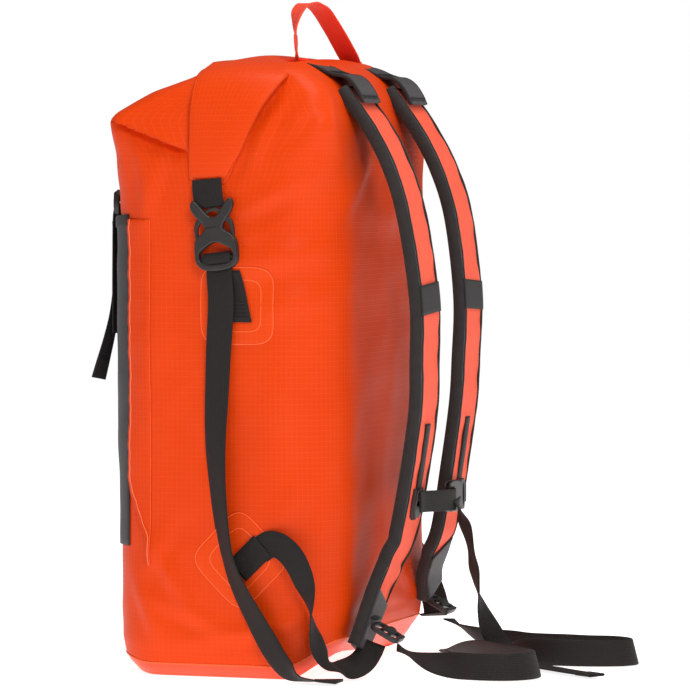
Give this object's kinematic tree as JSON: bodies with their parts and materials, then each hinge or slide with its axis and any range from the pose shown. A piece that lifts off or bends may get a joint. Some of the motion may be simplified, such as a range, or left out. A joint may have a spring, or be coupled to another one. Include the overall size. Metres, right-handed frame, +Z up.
{
  "type": "roll-top dry backpack",
  "caption": "Filled waterproof roll-top backpack with side buckles, padded shoulder straps, sternum strap, haul loop, front pocket and free webbing tails.",
  "frame": {"origin": "on the floor under the middle of the bag's width and depth", "axes": "+Z up; X across the bag, +X the side with the visible closure tail; +Y out of the back panel towards the shoulder straps, -Y out of the pocket face"},
  "size_m": [0.3598, 0.4859, 0.6326],
  "materials": {
    "bag_fabric": "coated ripstop, soft sheen",
    "stiffener": "flexible strip",
    "patch_film": "welded film",
    "black_webbing": "ribbed webbing",
    "pocket_fabric": "matt weave",
    "black_acetal": "satin moulding",
    "reinforcement": "pack cloth, stitched",
    "orange_webbing": "flat webbing",
    "strap_mesh": "spacer mesh over foam",
    "strap_shell": "plain weave",
    "strap_binding": "folded tape"
  },
  "bodies": {
    "root": {"bag_base": "bag_fabric", "bag_shell": "bag_fabric", "closure_roll": "bag_fabric", "roll_stiffener": "stiffener", "roll_ends": "bag_fabric", "upper_patches": "patch_film", "lower_patches": "patch_film", "anchor_webs": "black_webbing", "strap_anchors": "black_webbing", "front_pocket": "pocket_fabric", "pocket_side_strips": "bag_fabric", "pocket_straps": "black_webbing", "pocket_locks": "black_acetal", "pocket_tail": "black_webbing", "near_closure_male": "black_acetal", "far_closure_male": "black_acetal", "near_roll_web": "black_webbing", "far_roll_web": "black_webbing", "strap_tabs": "reinforcement", "handle_ends": "orange_webbing"},
    "haul_handle": {"haul_handle": "orange_webbing"},
    "near_female": {"near_closure_female": "black_acetal", "near_closure_wrap": "black_webbing", "near_closure_tail": "black_webbing"},
    "far_female": {"far_closure_female": "black_acetal", "far_closure_wrap": "black_webbing"},
    "near_latch_front": {"near_latch_front": "black_acetal"},
    "near_latch_back": {"near_latch_back": "black_acetal"},
    "far_latch_front": {"far_latch_front": "black_acetal"},
    "far_latch_back": {"far_latch_back": "black_acetal"},
    "harness": {"near_strap_pad": "strap_mesh", "near_strap_face": "strap_shell", "near_strap_binding": "strap_binding", "near_strap_rail": "black_webbing", "near_adjuster": "black_webbing", "near_tail": "black_webbing", "far_strap_pad": "strap_mesh", "far_strap_face": "strap_shell", "far_strap_binding": "strap_binding", "far_strap_rail": "black_webbing", "far_adjuster": "black_webbing", "far_tail": "black_webbing", "strap_bands": "black_webbing", "strap_end_patches": "reinforcement", "tab_flaps": "reinforcement", "lock_loops": "black_webbing"},
    "near_lock": {"near_ladder_lock": "black_acetal"},
    "far_lock": {"far_ladder_lock": "black_acetal"},
    "sternum": {"near_sternum_slider": "black_acetal", "far_sternum_slider": "black_acetal", "near_sternum_web": "black_webbing", "far_sternum_web": "black_webbing", "sternum_male": "black_acetal"},
    "sternum_female": {"sternum_female": "black_acetal", "sternum_tail": "black_webbing"},
    "sternum_latch_upper": {"sternum_latch_upper": "black_acetal"},
    "sternum_latch_lower": {"sternum_latch_lower": "black_acetal"}
  },
  "joints": [
    {"name": "harness_swing", "type": "hinge", "parent": "root", "child": "harness", "pos_m": [0, 0.0905, 0.5563], "axis": [1, 0, 0], "range_deg": [0, 8]},
    {"name": "near_lock_tilt", "type": "hinge", "parent": "harness", "child": "near_lock", "pos_m": [0.114, 0.1367, 0.0495], "axis": [1, 0, 0], "range_deg": [0, 25]},
    {"name": "far_lock_tilt", "type": "hinge", "parent": "harness", "child": "far_lock", "pos_m": [-0.112, 0.1192, 0.0545], "axis": [1, 0, 0], "range_deg": [0, 25]},
    {"name": "sternum_height", "type": "slide", "parent": "harness", "child": "sternum", "axis": [0, 0.1601, 0.9871], "range_m": [0, 0.045]},
    {"name": "sternum_release", "type": "slide", "parent": "sternum", "child": "sternum_female", "axis": [1, 0, 0], "range_m": [0, 0.015]},
    {"name": "sternum_latch_upper_squeeze", "type": "hinge", "parent": "sternum", "child": "sternum_latch_upper", "pos_m": [-0.034, 0.1725, 0.1714], "axis": [0, 1, 0], "range_deg": [0, 5], "stiffness_Nm_per_rad": 0.05},
    {"name": "sternum_latch_lower_squeeze", "type": "hinge", "parent": "sternum", "child": "sternum_latch_lower", "pos_m": [-0.034, 0.1725, 0.1506], "axis": [0, 1, 0], "range_deg": [-5, 0], "stiffness_Nm_per_rad": 0.05},
    {"name": "near_closure_release", "type": "slide", "parent": "root", "child": "near_female", "axis": [0, 0.1045, -0.9945], "range_m": [0, 0.022]},
    {"name": "near_latch_front_squeeze", "type": "hinge", "parent": "root", "child": "near_latch_front", "pos_m": [0.1728, -0.01435, 0.42106], "axis": [1, 0, 0], "range_deg": [0, 6], "stiffness_Nm_per_rad": 0.08},
    {"name": "near_latch_back_squeeze", "type": "hinge", "parent": "root", "child": "near_latch_back", "pos_m": [0.1728, 0.0135, 0.42399], "axis": [1, 0, 0], "range_deg": [-6, 0], "stiffness_Nm_per_rad": 0.08},
    {"name": "far_closure_release", "type": "slide", "parent": "root", "child": "far_female", "axis": [0, 0.1045, -0.9945], "range_m": [0, 0.022]},
    {"name": "far_latch_front_squeeze", "type": "hinge", "parent": "root", "child": "far_latch_front", "pos_m": [-0.1728, -0.01435, 0.42106], "axis": [1, 0, 0], "range_deg": [0, 6], "stiffness_Nm_per_rad": 0.08},
    {"name": "far_latch_back_squeeze", "type": "hinge", "parent": "root", "child": "far_latch_back", "pos_m": [-0.1728, 0.0135, 0.42399], "axis": [1, 0, 0], "range_deg": [-6, 0], "stiffness_Nm_per_rad": 0.08},
    {"name": "haul_handle_tilt", "type": "hinge", "parent": "root", "child": "haul_handle", "pos_m": [0, 0.05, 0.573], "axis": [1, 0, 0], "range_deg": [-25, 22]}
  ],
  "couplings": [
    {"joint": "near_latch_back_squeeze", "follows": "near_latch_front_squeeze", "ratio": -1},
    {"joint": "far_latch_back_squeeze", "follows": "far_latch_front_squeeze", "ratio": -1},
    {"joint": "sternum_latch_lower_squeeze", "follows": "sternum_latch_upper_squeeze", "ratio": -1}
  ]
}
